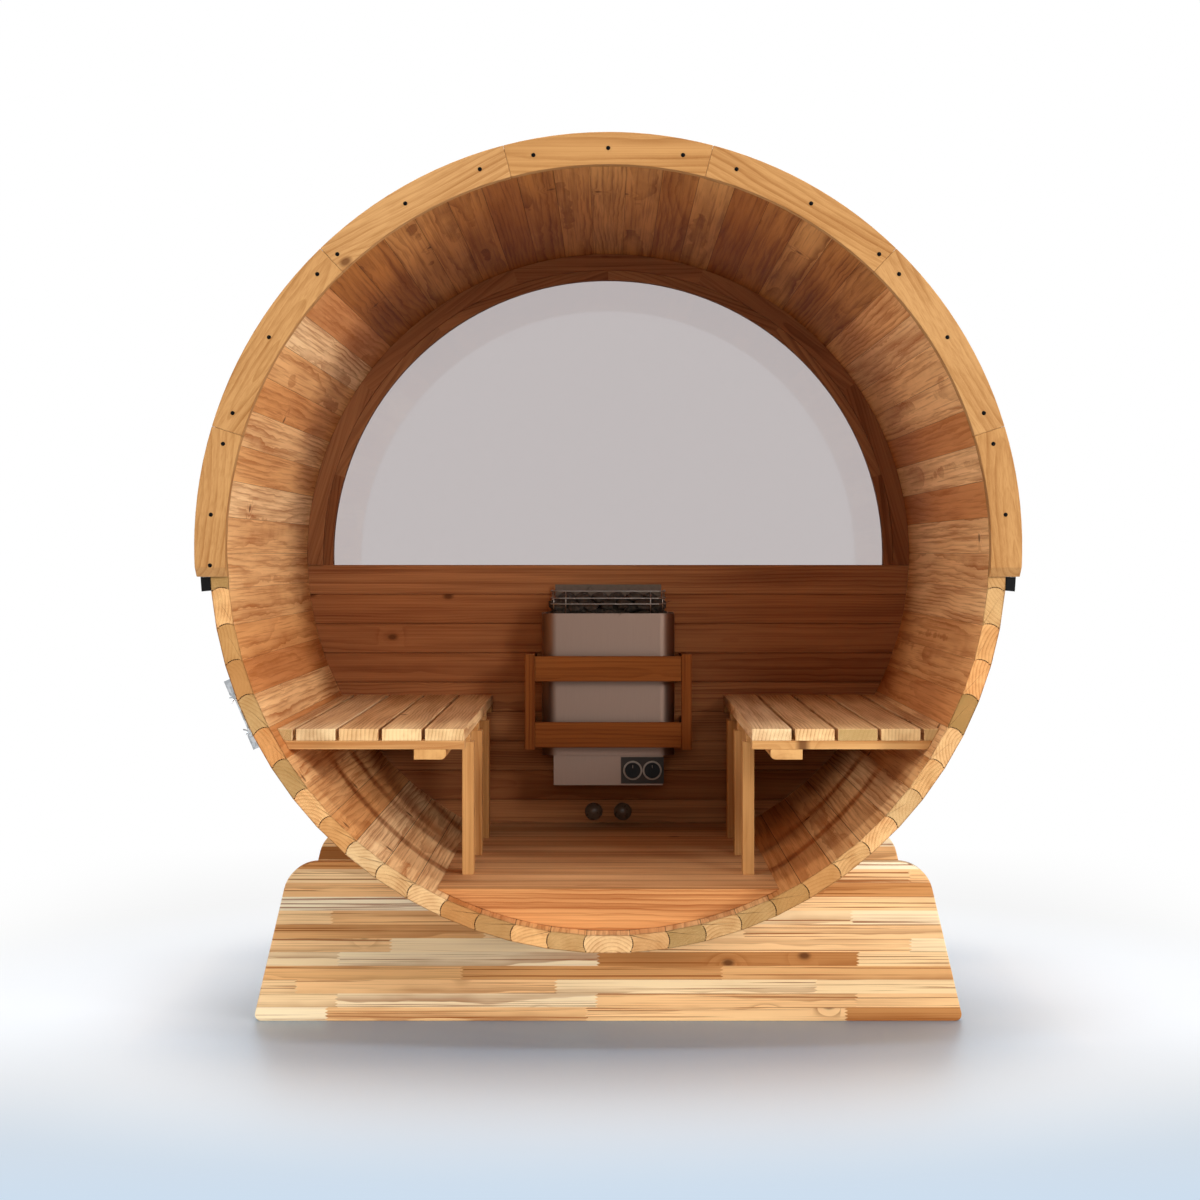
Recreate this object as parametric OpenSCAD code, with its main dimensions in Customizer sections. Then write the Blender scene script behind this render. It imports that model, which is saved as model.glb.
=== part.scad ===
// Barrel sauna: a lying barrel of bead-and-cove staves on two cradles, open at the front,
// with a half-moon window in the back wall, two slatted benches and a wall heater.
// Millimetres. X runs across, Y from the open front to the back wall, Z up from the ground.

/* [Barrel] */
// Outside diameter of the barrel
barrel_d = 1830; // [1700:10:2000]
// Length of the lower staves, end to end
barrel_len = 1830; // [1700:10:2300]
// Thickness of a stave
stave_t = 40; // [36:1:44]
// Staves up each side, between the bottom and the top key stave
side_staves = 32; // [28:4:36]
// Width of the bottom key stave
key_w = 104; // [90:1:120]
// How far a bead stands into the cove of the next stave
bead_rise = 6; // [4:0.5:7]
// Flat land left beside a bead
bead_land = 2; // [1:0.5:4]
// Gap in a joint between two boards
seam = 0.3; // [0.2:0.1:0.5]

/* [Canopy and roof] */
// Overhang of the top staves past the lower ones, at each end
canopy = 140; // [60:5:220]
// Depth below the barrel's axis where the slant of the ends begins
slant_drop = 50; // [30:1:70]
// Thickness of the roof covering
roof_t = 21; // [15:1:26]
// Strips of roof covering on each side
roof_strips = 5; // [4:1:7]
// Depth of the eave bar below the trim's end
eave_drop = 34; // [24:1:44]
// Thickness of the curved trim
trim_t = 36; // [26:1:44]
// How far the trim stands up past the roof
trim_lip = 7; // [3:1:14]
// Angle that one piece of the trim covers
trim_deg = 28.8; // [26:0.1:32]
// Chamfer on the foot of the trim
trim_chamfer = 21; // [10:1:24]

/* [Bands] */
// Thickness of a steel band
band_t = 1.2; // [0.8:0.1:2]
// Width of a steel band
band_w = 28; // [20:1:36]
// Distance of a band's middle from the end of the barrel
band_inset = 60; // [45:1:120]
// Place of the tensioner, round from the bottom
tension_deg = 66.5; // [55:0.5:72]
// Length of a tensioner lug
lug_len = 38; // [30:1:44]
// Height of a tensioner lug
lug_h = 16; // [14:0.5:20]
// Gap that the draw rod pulls together
draw_gap = 92; // [70:1:110]
// Thickness of the draw rod
rod_d = 8; // [6:0.5:9]
// Width of a nut across its corners
nut_w = 17; // [14:0.5:20]
// Thickness of a nut
nut_t = 8; // [6:0.5:10]

/* [Cradles] */
// Clear height under the barrel
belly_gap = 233; // [200:1:280]
// Thickness of a cradle
cradle_t = 40; // [34:1:60]
// Distance between the middles of the two cradles
cradle_spread = 860; // [700:10:1100]
// Width of a cradle on the ground
cradle_foot = 1750; // [1700:10:1800]
// Lean of a cradle's ends from upright
cradle_lean = 13.2; // [8:0.1:16]
// Height of a cradle
cradle_h = 392; // [360:1:410]
// Radius of a cradle's shoulder
shoulder_r = 86; // [60:1:100]
// Radius of a cradle's toe
toe_r = 16; // [8:1:24]
// Clearance between the cradle and the barrel
seat_gap = 0.3; // [0.2:0.1:0.6]

/* [Back wall and window] */
// Distance of the wall's outside from the end of the barrel
wall_inset = 90; // [70:1:130]
// Thickness of the wall
wall_t = 40; // [36:1:44]
// Depth of the groove in the staves that holds the wall
croze = 8; // [5:0.5:10]
// Clearance round the wall in its groove
croze_gap = 0.5; // [0.3:0.1:0.8]
// Boards in the wall below the window
wall_boards = 10; // [9:1:12]
// Chamfer on the edges of the wall boards
wall_chamfer = 2.5; // [1.5:0.5:4]
// Depth of the sill below the barrel's axis
sill_drop = 29; // [20:1:45]
// Width of the casing round the window
casing_w = 46; // [40:1:55]
// How far the casing stands into the room
casing_proud = 10; // [6:1:14]
// Width of the stop that holds the glass
stop_w = 28; // [24:1:36]
// How far the stop lies behind the wall's face
stop_back = 2; // [1:0.5:4]
// Thickness of the glass
glass_t = 6; // [5:0.5:8]
// Thickness of the ring outside the glass
outer_ring_t = 20; // [16:1:22]
// Angle that one piece of a window ring covers
ring_deg = 36.8; // [33:0.1:40]

/* [Floor] */
// Height of the floor above the inside of the lowest stave
floor_up = 96.5; // [80:0.5:140]
// Thickness of the floor boards
floor_t = 28; // [22:1:32]
// Number of floor boards
floor_boards_n = 12; // [10:1:15]
// Gap between floor boards
floor_gap = 1.5; // [0.5:0.5:4]
// Distance of the front board's face from the end of the barrel
floor_setback = 80; // [60:1:120]
// Thickness of the front board
fascia_t = 38; // [28:1:44]

/* [Benches] */
// Height of the seats above the floor
seat_up = 371; // [340:1:420]
// Depth of a seat from its edge to the staves
seat_depth = 437; // [380:1:470]
// Distance of the benches from the front end of the barrel
bench_setback = 109; // [90:1:160]
// Width of a seat slat
slat_w = 92; // [80:1:100]
// Thickness of a seat slat
slat_t = 28; // [22:1:32]
// Gap between seat slats
slat_gap = 8.5; // [6:0.5:12]
// Height of a bearer under the slats
bearer_h = 20; // [18:1:28]
// Width of a bearer
bearer_w = 70; // [50:1:80]
// Width of the batten under the bearers
batten_w = 75; // [60:1:90]
// Height of the batten
batten_h = 24; // [18:1:30]
// Distance of the batten from the seat's edge
batten_in = 43; // [34:1:60]
// Rounding of the batten's lower inner edge
batten_r = 12; // [6:1:16]
// Thickness of a leg, across the sauna
leg_t = 28; // [24:1:34]
// Width of a leg, along the sauna
leg_w = 70; // [50:1:80]
// How far a leg stands past the seat's edge
leg_proud = 9; // [0:1:12]
// Distance from a bench's front to its first leg
leg_first = 262; // [200:1:300]
// Distance from one leg to the next
leg_pitch = 436; // [400:1:450]

/* [Heater] */
// Width of the heater's shell
heater_w = 374; // [340:2:390]
// Depth of the heater's shell
heater_d = 240; // [210:1:260]
// Height of the heater's shell
heater_h = 398; // [370:1:410]
// Height of the heater above the floor
heater_up = 131; // [100:1:160]
// Distance of the heater from the wall
heater_off = 44; // [30:1:50]
// Radius of the shell's front corners
heater_r = 42; // [25:1:50]
// Depth of the tray for the stones
tray_deep = 30; // [20:1:50]
// Width of the tray's rim
tray_rim = 12; // [9:1:16]
// Width of the lower box
base_w = 306; // [290:2:320]
// Height of the lower box
base_h = 84; // [80:1:100]
// How far the lower box lies behind the shell's face
base_back = 6; // [4:1:14]
// Width of the wall bracket
bracket_w = 220; // [160:2:260]
// Height of the wall bracket
bracket_h = 330; // [260:2:360]
// Width of the control panel
panel_w = 120; // [114:1:126]
// Height of the control panel
panel_h = 74; // [66:1:78]
// Thickness of the control panel
panel_t = 4; // [3:0.5:6]
// How far the control panel stands past the end of the lower box
panel_past = 3; // [0:0.5:4]
// Distance between the two dials
dial_pitch = 54.6; // [54:0.2:56]
// Diameter of a dial
dial_d = 43; // [38:0.5:44]
// Depth of a dial
dial_deep = 16; // [12:0.5:20]
// Gap behind a dial
dial_gap = 1; // [0.8:0.1:1.5]
// Width of the grip across a dial
grip_w = 8; // [6:0.5:10]
// Height of the grip
grip_h = 7; // [5:0.5:10]
// Thickness of a dial's shaft
shaft_d = 8; // [6:0.5:10]
// Length of a dial's shaft behind the panel's face
shaft_len = 14; // [10:0.5:18]
// Running clearance round a shaft
shaft_gap = 0.1; // [0.05:0.01:0.2]
// Outside diameter of the ring round a dial
bezel_d = 53; // [52:0.2:53.6]
// Width of that ring
bezel_w = 3; // [2:0.2:3.2]
// Height of that ring
bezel_h = 3; // [2:0.5:4]
// Height of the stones above the rim
stone_rise = 48; // [40:1:60]
// Clearance round the stones
stone_gap = 2; // [1:0.5:4]
// Thickness of the guard wires
wire_d = 5; // [4:0.5:6]
// Thickness of the upright guard wires
wire_post_d = 4; // [3:0.5:5]
// Height of the top guard wire above the rim
wire_rise = 46; // [40:1:56]
// Guard wires across the front, from end to end
wire_posts = 5; // [3:1:9]
// Width of the plate behind the stones
splash_w = 306; // [280:2:320]
// Height of that plate above the rim
splash_h = 79; // [65:1:90]
// Thickness of that plate
splash_t = 3; // [2:0.5:4]

/* [Heater rail] */
// Width of the rail, outside
rail_w = 464; // [450:2:500]
// Distance of the rail's front from the wall
rail_out = 350; // [340:1:380]
// Width of a post
post_w = 28; // [24:1:32]
// Depth of a post
post_d = 40; // [32:1:50]
// Height of a post
post_h = 266; // [250:1:280]
// Height of the posts' feet above the floor
post_up = 235; // [220:1:260]
// Height of a rail board
board_h = 70; // [60:1:80]
// Thickness of a rail board
board_t = 20; // [16:1:24]
// Distance from a post's end to the nearest rail board
board_in = 6; // [2:1:12]
// How far a rail board lies behind the post's face
board_back = 6; // [2:1:10]

/* [Vents] */
// Diameter of a vent cap
vent_d = 51; // [44:1:56]
// Distance between the two vent caps
vent_pitch = 84; // [70:1:120]
// Height of the vents' middles above the floor
vent_up = 32; // [30:1:50]
// Height of a vent cap's rim
vent_rim = 5; // [3:0.5:8]
// Height of a vent cap's dome
vent_dome = 11; // [8:0.5:14]

/* [Hidden] */
$fn = 64;

barrel_r = barrel_d / 2;
axis_z = belly_gap + barrel_r;
front_y = -barrel_len / 2;
back_y = barrel_len / 2;

// The staves are flat boards, so their corners reach the barrel's round and their faces lie inside it.
key_half = asin(key_w / 2 / barrel_r);
pitch = (360 - 2 * key_half) / (2 * side_staves + 1);
face_out = barrel_r * cos(key_half);
face_in = face_out - stave_t;
face_mid = face_out - stave_t / 2;
bead_half = stave_t / 2 - bead_land;
bead_r = (bead_half * bead_half + bead_rise * bead_rise) / (2 * bead_rise);
room_r = face_in - seam;
quarter = side_staves / 4;

// Slanted ends: overhang at a height above the ground.
slant_z = axis_z - slant_drop;
function reach(z) = canopy * (z - slant_z) / (barrel_r + slant_drop);

// How far a cut runs past a face, and one fused piece into another.
past = 1;

roof_in = barrel_r + band_t + seam;
roof_out = roof_in + roof_t;
trim_out = roof_out + trim_lip;
trim_foot = 90 + asin(slant_drop / trim_out);
trim_top = axis_z + trim_out;
overhang = reach(trim_top);
joint = asin(seam / 2 / barrel_r);
eave_top = 90 + asin((slant_drop + seam) / roof_in);
eave_low = 90 + asin((slant_drop + eave_drop) / roof_out);
roof_deg = eave_top / roof_strips;

wall_out = back_y - wall_inset;
wall_in = wall_out - wall_t;
wall_r = face_in + croze - croze_gap;
sill_z = axis_z - sill_drop;
board_pitch = (wall_r - sill_drop) / wall_boards;
casing_in = room_r - casing_w;
stop_in = casing_in - stop_w;
ring_face = wall_out - outer_ring_t;
glass_face = ring_face - glass_t;

floor_z = axis_z - face_in + floor_up;
floor_y = front_y + floor_setback + fascia_t;
floor_pitch = (wall_in - floor_y) / floor_boards_n;

seat_z = floor_z + seat_up;
seat_drop = axis_z - seat_z;
seat_x = sqrt(room_r * room_r - seat_drop * seat_drop) - seat_depth;
seat_y = front_y + bench_setback;
seat_pitch = slat_w + slat_gap;
slats = ceil(seat_depth / seat_pitch);
bearer_z = seat_z - slat_t - bearer_h;
leg_ys = [for (i = [0:2]) seat_y + leg_first + leg_w / 2 + i * leg_pitch];
bearer_ys = concat([seat_y + bearer_w / 2], leg_ys, [wall_in - bearer_w / 2]);

shell_z = floor_z + heater_up + base_h;
rim_z = shell_z + heater_h;
heater_back = wall_in - heater_off;
heater_front = heater_back - heater_d;
base_front = heater_front + base_back;
panel_face = base_front - panel_t;
panel_x = base_w / 2 - panel_w / 2 + panel_past;
panel_z = shell_z - base_h / 2;
wire_x = heater_w / 2 - heater_r / 2 - tray_rim / 2;
wire_y = heater_front + tray_rim / 2;
wire_back = heater_back - splash_t - tray_rim / 2;

rail_y = wall_in - rail_out;
post_low = floor_z + post_up;
post_top = post_low + post_h;

// Runs a drawing of the barrel's cross-section along Y.
module along(y0, y1) {
  translate([0, y1, axis_z])
    rotate([90, 0, 0])
      linear_extrude(height = y1 - y0)
        children();
}

// Runs a drawing of the side view across X.
module across(x0, x1) {
  translate([x0, 0, 0])
    rotate([90, 0, 90])
      linear_extrude(height = x1 - x0)
        children();
}

module block(x0, x1, y0, y1, z0, z1) {
  translate([x0, y0, z0])
    cube([x1 - x0, y1 - y0, z1 - z0]);
}

module ring(r0, r1) {
  difference() {
    circle(r = r1, $fn = 180);
    circle(r = r0, $fn = 180);
  }
}

// Wedge from the axis between two angles, counted clockwise from the top.
module slice(a0, a1) {
  far = 2 * barrel_r;
  polygon([[0, 0], far * [sin(a0), cos(a0)], far * [sin(a1), cos(a1)]]);
}

// Everything inside the room's round, along its length.
module room() {
  along(front_y, wall_in)
    circle(r = room_r, $fn = 180);
}

// Side view of the barrel, with the slanted ends.
module barrel_side() {
  polygon([[front_y, 0], [front_y, slant_z], [front_y - overhang, trim_top],
    [back_y + overhang, trim_top], [back_y, slant_z], [back_y, 0]]);
}

module groove() {
  along(wall_in - seam, wall_out + seam)
    circle(r = face_in + croze, $fn = 180);
}

// A stave lies at the bottom of the cross-section here, and is turned to its place.
module stave_blank(half) {
  side = seam / 2;
  polygon([[-face_out * tan(half) + side, -face_out], [face_out * tan(half) - side, -face_out],
    [face_in * tan(half) - side, -face_in], [-face_in * tan(half) + side, -face_in]]);
}

module joint_round(half, grow) {
  rotate(half)
    translate([bead_rise - bead_r, -face_mid])
      circle(r = bead_r + grow, $fn = 64);
}

module bead(half) {
  intersection() {
    joint_round(half, -seam / 2);
    rotate(half)
      translate([-bead_r, -face_mid - bead_half])
        square([2 * bead_r, 2 * bead_half]);
  }
}

module side_stave() {
  difference() {
    union() {
      stave_blank(pitch / 2);
      bead(pitch / 2);
    }
    joint_round(-pitch / 2, seam / 2);
  }
}

module stave_solid() {
  difference() {
    intersection() {
      along(front_y - overhang, back_y + overhang)
        children();
      across(-barrel_r, barrel_r)
        barrel_side();
    }
    groove();
  }
}

module stave_group(first) {
  for (i = [first:first + quarter - 1])
    stave_solid()
      rotate(key_half + (i + 0.5) * pitch)
        side_stave();
}

module right_staves(first) {
  color("#d8a874")
    stave_group(first);
}

module left_staves(first) {
  color("#d8a874")
    mirror([1, 0, 0])
      stave_group(first);
}

module bottom_key_stave() {
  color("#e2b683")
    stave_solid() {
      union() {
        stave_blank(key_half);
        bead(key_half);
        mirror([1, 0])
          bead(key_half);
      }
    }
}

module top_key_stave() {
  color("#e2b683")
    stave_solid()
      rotate(180)
        difference() {
          stave_blank(pitch / 2);
          joint_round(-pitch / 2, seam / 2);
          mirror([1, 0])
            joint_round(-pitch / 2, seam / 2);
        }
}

module left_belly_staves() {
  left_staves(0);
}

module right_belly_staves() {
  right_staves(0);
}

module left_flank_staves() {
  left_staves(quarter);
}

module right_flank_staves() {
  right_staves(quarter);
}

module left_shoulder_staves() {
  left_staves(2 * quarter);
}

module right_shoulder_staves() {
  right_staves(2 * quarter);
}

module left_crown_staves() {
  left_staves(3 * quarter);
}

module right_crown_staves() {
  right_staves(3 * quarter);
}

// A band runs round from lug to lug, and leaves the draw gap open.
module band(y) {
  open = asin(draw_gap / 2 / barrel_r);
  mid = 180 + tension_deg;
  color("#9aa0a3")
    along(y - band_w / 2, y + band_w / 2)
      difference() {
        ring(barrel_r, barrel_r + band_t);
        slice(mid - open, mid + open);
      }
}

module front_band() {
  band(front_y + band_inset);
}

module rear_band() {
  band(back_y - band_inset);
}

module tensioner(y) {
  foot = barrel_r + band_t;
  rod_z = -foot - lug_h / 2;
  translate([0, y, axis_z])
    rotate([0, tension_deg, 0]) {
      for (s = [-1, 1]) {
        translate([s * (draw_gap + lug_len) / 2, 0, -foot - lug_h / 2])
          cube([lug_len, band_w, lug_h], center = true);
        translate([s * (draw_gap - nut_t) / 2, 0, rod_z])
          rotate([0, 90, 0])
            cylinder(d = nut_w, h = nut_t, center = true, $fn = 6);
      }
      translate([0, 0, rod_z])
        rotate([0, 90, 0])
          cylinder(d = rod_d, h = draw_gap, center = true, $fn = 12);
    }
}

module band_tensioners() {
  color("#8d9295") {
    tensioner(front_y + band_inset);
    tensioner(back_y - band_inset);
  }
}

module roof_strip(a0, a1) {
  intersection() {
    along(front_y - overhang, back_y + overhang)
      intersection() {
        ring(roof_in, roof_out);
        slice(a0, a1);
      }
    across(-roof_out, roof_out)
      barrel_side();
  }
}

module roof_side() {
  for (i = [0:roof_strips - 1])
    roof_strip(i * roof_deg + joint, (i + 1) * roof_deg - joint);
}

module right_roof() {
  color("#222324")
    roof_side();
}

module left_roof() {
  color("#222324")
    mirror([1, 0, 0])
      roof_side();
}

module eave_bars() {
  color("#191a1a")
    for (m = [0, 1])
      mirror([m, 0, 0])
        roof_strip(eave_top, eave_low);
}

// Side view of the front trim: it lies on the slanted ends and is chamfered at its foot.
module trim_side() {
  bevel_z = slant_z + trim_chamfer;
  polygon([[front_y, slant_z], [front_y - trim_t + trim_chamfer, slant_z],
    [front_y - trim_t - reach(bevel_z), bevel_z], [front_y - trim_t - overhang, trim_top],
    [front_y - overhang, trim_top]]);
}

module trim() {
  pieces = ceil((trim_foot - trim_deg / 2) / trim_deg);
  for (i = [-pieces:pieces])
    intersection() {
      along(front_y - overhang - trim_t, front_y)
        intersection() {
          ring(face_in, trim_out);
          slice((i - 0.5) * trim_deg + joint, (i + 0.5) * trim_deg - joint);
        }
      across(-trim_out, trim_out)
        trim_side();
    }
}

module front_trim() {
  color("#cd9862")
    trim();
}

module rear_trim() {
  color("#cd9862")
    mirror([0, 1, 0])
      trim();
}

// Cross-section of a cradle: leaning ends, round shoulders and toes, and a seat for the barrel.
module cradle_plate() {
  lean = tan(cradle_lean);
  c = cos(cradle_lean);
  s = sin(cradle_lean);
  shoulder = [cradle_foot / 2 - (cradle_h - shoulder_r) * lean - shoulder_r / c, cradle_h - shoulder_r];
  toe = [cradle_foot / 2 - toe_r * lean - toe_r / c, toe_r];
  difference() {
    translate([0, -axis_z])
      for (m = [0, 1])
        mirror([m, 0]) {
          polygon([[0, 0], [toe.x, 0], toe + toe_r * [c, s], shoulder + shoulder_r * [c, s],
            [shoulder.x, cradle_h], [0, cradle_h]]);
          translate(toe)
            circle(r = toe_r);
          translate(shoulder)
            circle(r = shoulder_r);
        }
    circle(r = barrel_r + seat_gap, $fn = 180);
  }
}

module cradle(y) {
  color("#e6c796")
    along(y - cradle_t / 2, y + cradle_t / 2)
      cradle_plate();
}

module front_cradle() {
  cradle(-cradle_spread / 2);
}

module rear_cradle() {
  cradle(cradle_spread / 2);
}

module wall_board(z0, z1) {
  c = wall_chamfer;
  intersection() {
    along(wall_in, wall_out)
      circle(r = wall_r, $fn = 180);
    across(-wall_r, wall_r)
      polygon([[wall_in, z0 + c], [wall_in + c, z0], [wall_out - c, z0], [wall_out, z0 + c],
        [wall_out, z1 - c], [wall_out - c, z1], [wall_in + c, z1], [wall_in, z1 - c]]);
  }
}

module back_wall() {
  color("#a86a3f")
    for (i = [0:wall_boards - 1])
      wall_board(sill_z - (i + 1) * board_pitch + seam, sill_z - i * board_pitch);
}

// A joint at or below the sill is left out, so that the last piece runs on to the sill.
function ring_end(a) = abs(a) < 90 - ring_deg / 4 ? a : sign(a) * 120;

// Half rings above the sill, cut into pieces with joints at the given angles.
module window_ring(r0, r1, y0, y1, shift) {
  pieces = ceil(90 / ring_deg);
  for (i = [-pieces:pieces]) {
    a0 = ring_end((i - 0.5 + shift) * ring_deg);
    a1 = ring_end((i + 0.5 + shift) * ring_deg);
    if (a0 < a1)
      along(y0, y1)
        intersection() {
          ring(r0, r1);
          slice(a0 + joint, a1 - joint);
          translate([-barrel_r, -sill_drop])
            square([barrel_d, barrel_d]);
        }
  }
}

module window_casing() {
  color("#a5693f")
    window_ring(casing_in, room_r, wall_in - casing_proud, ring_face, 0);
}

module window_stop() {
  color("#9c6138")
    window_ring(stop_in, casing_in - seam, wall_in + stop_back, glass_face, 0.5);
}

module window_outer_ring() {
  color("#a5693f")
    window_ring(stop_in, wall_r, ring_face, wall_out, 0);
}

module window_glass() {
  color("#bebab9", 0.6)
    along(glass_face, ring_face)
      intersection() {
        circle(r = casing_in - seam, $fn = 180);
        translate([-barrel_r, -sill_drop])
          square([barrel_d, barrel_d]);
      }
}

module floor_boards() {
  color("#b4784a")
    for (i = [0:floor_boards_n - 1])
      intersection() {
        block(-barrel_r, barrel_r, floor_y + i * floor_pitch,
          floor_y + (i + 1) * floor_pitch - floor_gap, floor_z - floor_t, floor_z);
        room();
      }
}

module floor_front_board() {
  color("#c08a56")
    intersection() {
      block(-barrel_r, barrel_r, front_y + floor_setback, floor_y, axis_z - barrel_r, floor_z);
      room();
    }
}

module seat() {
  color("#bf8450")
    for (i = [0:slats - 1])
      intersection() {
        block(seat_x + i * seat_pitch, seat_x + i * seat_pitch + slat_w, seat_y, wall_in,
          seat_z - slat_t, seat_z);
        room();
      }
}

module right_seat() {
  seat();
}

module left_seat() {
  mirror([1, 0, 0])
    seat();
}

module bearers() {
  color("#a9713f")
    for (y = bearer_ys)
      intersection() {
        block(seat_x, barrel_r, y - bearer_w / 2, y + bearer_w / 2, bearer_z, bearer_z + bearer_h);
        room();
      }
}

module right_bearers() {
  bearers();
}

module left_bearers() {
  mirror([1, 0, 0])
    bearers();
}

module batten() {
  x0 = seat_x + batten_in;
  z0 = bearer_z - batten_h;
  color("#a9713f")
    translate([0, wall_in, 0])
      rotate([90, 0, 0])
        linear_extrude(height = wall_in - seat_y) {
          translate([x0 + batten_r, z0])
            square([batten_w - batten_r, batten_h]);
          translate([x0, z0 + batten_r])
            square([batten_w, batten_h - batten_r]);
          translate([x0 + batten_r, z0 + batten_r])
            circle(r = batten_r);
        }
}

module right_battens() {
  batten();
}

module left_battens() {
  mirror([1, 0, 0])
    batten();
}

module legs() {
  color("#a9713f")
    for (y = leg_ys)
      intersection() {
        block(seat_x - leg_proud, seat_x - leg_proud + leg_t, y - leg_w / 2, y + leg_w / 2,
          floor_z, bearer_z);
        room();
      }
}

module right_legs() {
  legs();
}

module left_legs() {
  mirror([1, 0, 0])
    legs();
}

// Outline from above with round front corners.
module shell_outline(in) {
  w = heater_w / 2 - in;
  r = heater_r - in;
  y0 = heater_front + in;
  y1 = heater_back - in;
  translate([-w, y0 + r])
    square([2 * w, y1 - y0 - r]);
  translate([-w + r, y0])
    square([2 * w - 2 * r, r]);
  for (s = [-1, 1])
    translate([s * (w - r), y0 + r])
      circle(r = r);
}

module heater_shell() {
  color("#d9d4cb")
    difference() {
      translate([0, 0, shell_z])
        linear_extrude(height = heater_h)
          shell_outline(0);
      translate([0, 0, rim_z - tray_deep])
        linear_extrude(height = tray_deep + past)
          shell_outline(tray_rim);
    }
}

module dial_holes() {
  for (s = [-1, 1])
    translate([panel_x + s * dial_pitch / 2, panel_face, panel_z])
      rotate([-90, 0, 0])
        translate([0, 0, -past])
          cylinder(d = shaft_d + 2 * shaft_gap, h = shaft_len + 2 * past);
}

module heater_base() {
  color("#d2cdc4")
    difference() {
      block(-base_w / 2, base_w / 2, base_front, heater_back, shell_z - base_h, shell_z);
      dial_holes();
    }
}

module heater_bracket() {
  color("#8f8c88")
    block(-bracket_w / 2, bracket_w / 2, heater_back, wall_in,
      shell_z + (heater_h - bracket_h) / 2, shell_z + (heater_h + bracket_h) / 2);
}

module control_panel() {
  color("#3b3a3c")
    difference() {
      union() {
        block(panel_x - panel_w / 2, panel_x + panel_w / 2, panel_face, base_front,
          panel_z - panel_h / 2, panel_z + panel_h / 2);
        for (s = [-1, 1])
          translate([panel_x + s * dial_pitch / 2, panel_face, panel_z])
            rotate([90, 0, 0])
              difference() {
                cylinder(d = bezel_d, h = bezel_h);
                translate([0, 0, -past])
                  cylinder(d = bezel_d - 2 * bezel_w, h = bezel_h + 2 * past);
              }
      }
      dial_holes();
    }
}

module dial(x) {
  color("#262627")
    translate([x, panel_face, panel_z])
      rotate([90, 0, 0]) {
        translate([0, 0, -shaft_len])
          cylinder(d = shaft_d, h = shaft_len + dial_gap + past);
        translate([0, 0, dial_gap])
          cylinder(d = dial_d, h = dial_deep - grip_h);
        intersection() {
          translate([-grip_w / 2, -dial_d / 2, dial_gap])
            cube([grip_w, dial_d, dial_deep]);
          translate([0, 0, dial_gap])
            cylinder(d = dial_d - past, h = dial_deep);
        }
      }
}

module timer_dial() {
  dial(panel_x - dial_pitch / 2);
}

module thermostat_dial() {
  dial(panel_x + dial_pitch / 2);
}

module splash_plate() {
  color("#c9c5be")
    block(-splash_w / 2, splash_w / 2, heater_back - splash_t, heater_back, rim_z, rim_z + splash_h);
}

// The stones fill the tray and stand up inside the guard.
module stones() {
  side = wire_x - wire_d / 2 - stone_gap;
  color("#4a4745") {
    translate([0, 0, rim_z - tray_deep])
      linear_extrude(height = tray_deep - stone_gap)
        shell_outline(tray_rim + stone_gap);
    block(-side, side, heater_front + tray_rim + stone_gap, heater_back - tray_rim - stone_gap,
      rim_z - tray_deep, rim_z + stone_rise);
  }
}

module stone_guard() {
  color("#b9bbbb") {
    for (z = [rim_z + wire_rise / 2, rim_z + wire_rise]) {
      translate([0, wire_y, z])
        cube([2 * wire_x + wire_d, wire_d, wire_d], center = true);
      for (s = [-1, 1])
        translate([s * wire_x, (wire_y + wire_back) / 2, z])
          cube([wire_d, wire_back - wire_y, wire_d], center = true);
    }
    for (i = [0:wire_posts - 1])
      translate([-wire_x + 2 * wire_x * i / (wire_posts - 1), wire_y, rim_z + wire_rise / 2])
        cube([wire_post_d, wire_post_d, wire_rise], center = true);
    for (s = [-1, 1])
      translate([s * wire_x, wire_back - wire_d, rim_z + wire_rise / 2])
        cube([wire_post_d, wire_post_d, wire_rise], center = true);
  }
}

module rail_posts() {
  color("#b97a45")
    for (s = [-1, 1])
      translate([s * (rail_w - post_w) / 2, rail_y + post_d / 2, post_low + post_h / 2])
        cube([post_w, post_d, post_h], center = true);
}

module rail_boards() {
  color("#b97a45")
    for (z = [post_low + board_in, post_top - board_in - board_h]) {
      block(-rail_w / 2 + post_w, rail_w / 2 - post_w, rail_y + board_back,
        rail_y + board_back + board_t, z, z + board_h);
      for (s = [-1, 1])
        translate([s * (rail_w - post_w) / 2, (rail_y + post_d + wall_in) / 2, z + board_h / 2])
          cube([board_t, wall_in - rail_y - post_d, board_h], center = true);
    }
}

module vent_cap() {
  dome_r = (vent_d * vent_d / 4 + vent_dome * vent_dome) / (2 * vent_dome);
  rotate_extrude($fn = 96) {
    square([vent_d / 2, vent_rim]);
    intersection() {
      translate([0, vent_rim + vent_dome - dome_r])
        circle(r = dome_r, $fn = 96);
      translate([0, vent_rim - past])
        square([vent_d / 2, vent_dome + past]);
    }
  }
}

module vent_caps() {
  color("#4b3a2c")
    for (s = [-1, 1])
      translate([s * vent_pitch / 2, wall_in, floor_z + vent_up])
        rotate([90, 0, 0])
          vent_cap();
}

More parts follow.
